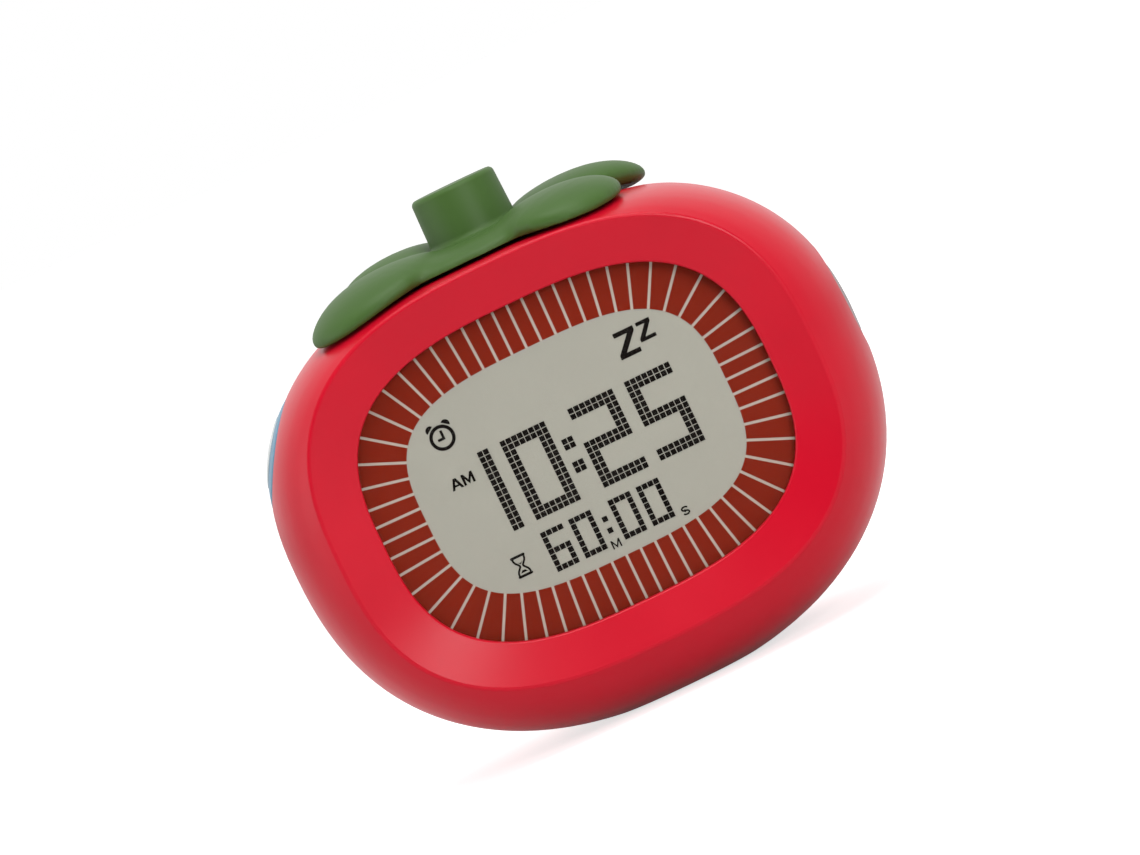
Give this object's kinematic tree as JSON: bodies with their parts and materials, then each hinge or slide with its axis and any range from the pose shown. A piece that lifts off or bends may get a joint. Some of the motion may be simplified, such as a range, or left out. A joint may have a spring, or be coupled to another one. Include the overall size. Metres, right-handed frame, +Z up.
{
  "type": "visual timer",
  "caption": "Tomato-shaped desk timer: round shell with a dished bezel, ring-segment display, press-down leaf cap, side keys, rear controls and a battery door.",
  "frame": {"origin": "middle of the base pad's underside, on the surface that the timer stands on", "axes": "+X to the right of someone facing the display, +Y to the back, +Z up"},
  "size_m": [0.0995, 0.0468, 0.0889],
  "materials": {
    "red_shell": "satin",
    "green_cap": "satin",
    "blue_key": "satin",
    "grey_key": "satin",
    "pale_plastic": "satin",
    "dark_plastic": "matt",
    "white_plastic": "matt",
    "clear_window": "clear",
    "display_glass": "clear",
    "light_guide": "clear",
    "soft_black": "matt",
    "contact_rubber": "matt",
    "pad_rubber": "matt",
    "board": "satin",
    "chip_resin": "glossy",
    "steel": "plated",
    "spring_steel": "plain",
    "contact_metal": "plated",
    "speaker_metal": "matt",
    "cell_can": "satin",
    "ribbon": "matt"
  },
  "bodies": {
    "housing": {"front_housing": "red_shell", "rear_housing": "red_shell", "base_pad": "pad_rubber", "display_lens": "clear_window", "lcd_gasket": "soft_black", "lcd_panel": "display_glass", "lcd_holder": "white_plastic", "light_guide": "light_guide", "contact_strips": "contact_rubber", "main_board": "board", "controller_chip": "chip_resin", "crystal": "steel", "board_screws": "steel", "housing_screws": "steel", "cap_spring": "spring_steel", "cap_guide": "white_plastic", "cap_switch_board": "board", "cap_switch": "dark_plastic", "blue_switch_board": "board", "blue_switch": "dark_plastic", "grey_switch_board": "board", "grey_switch": "dark_plastic", "control_board": "board", "key_switches": "dark_plastic", "control_screws": "steel", "slide_switch": "dark_plastic", "speaker": "speaker_metal", "ribbon_cable": "ribbon", "battery_cells": "cell_can", "battery_springs": "spring_steel", "contact_plates": "contact_metal"},
    "cap": {"stem_cap": "green_cap", "cap_clip": "steel"},
    "blue": {"blue_key": "blue_key", "blue_key_inlay": "pale_plastic"},
    "grey": {"grey_key": "grey_key", "grey_key_inlay": "pale_plastic"},
    "set": {"set_key": "pale_plastic"},
    "down": {"down_key": "pale_plastic"},
    "up": {"up_key": "pale_plastic"},
    "slide": {"slide_knob": "dark_plastic"},
    "door": {"battery_door": "red_shell"}
  },
  "joints": [
    {"name": "cap_press", "type": "slide", "parent": "housing", "child": "cap", "axis": [0, 0, -1], "range_m": [0, 0.0006], "stiffness_N_per_m": 800, "springref_m": -0.001, "deforming": ["cap_spring"]},
    {"name": "blue_press", "type": "slide", "parent": "housing", "child": "blue", "axis": [0.8411, 0, -0.5409], "range_m": [0, 0.0006], "stiffness_N_per_m": 800, "springref_m": -0.0005},
    {"name": "grey_press", "type": "slide", "parent": "housing", "child": "grey", "axis": [-0.9995, 0, -0.0322], "range_m": [0, 0.0006], "stiffness_N_per_m": 800, "springref_m": -0.0005},
    {"name": "set_press", "type": "slide", "parent": "housing", "child": "set", "axis": [0, -1, 0], "range_m": [0, 0.0006], "stiffness_N_per_m": 800, "springref_m": -0.0005},
    {"name": "down_press", "type": "slide", "parent": "housing", "child": "down", "axis": [0, -1, 0], "range_m": [0, 0.0006], "stiffness_N_per_m": 800, "springref_m": -0.0005},
    {"name": "up_press", "type": "slide", "parent": "housing", "child": "up", "axis": [0, -1, 0], "range_m": [0, 0.0006], "stiffness_N_per_m": 800, "springref_m": -0.0005},
    {"name": "slide_shift", "type": "slide", "parent": "housing", "child": "slide", "axis": [1, 0, 0], "range_m": [0, 0.003]},
    {"name": "door_swing", "type": "hinge", "parent": "housing", "child": "door", "pos_m": [0, 0.024, 0.0148], "axis": [-1, 0, 0], "range_deg": [0, 70]}
  ]
}
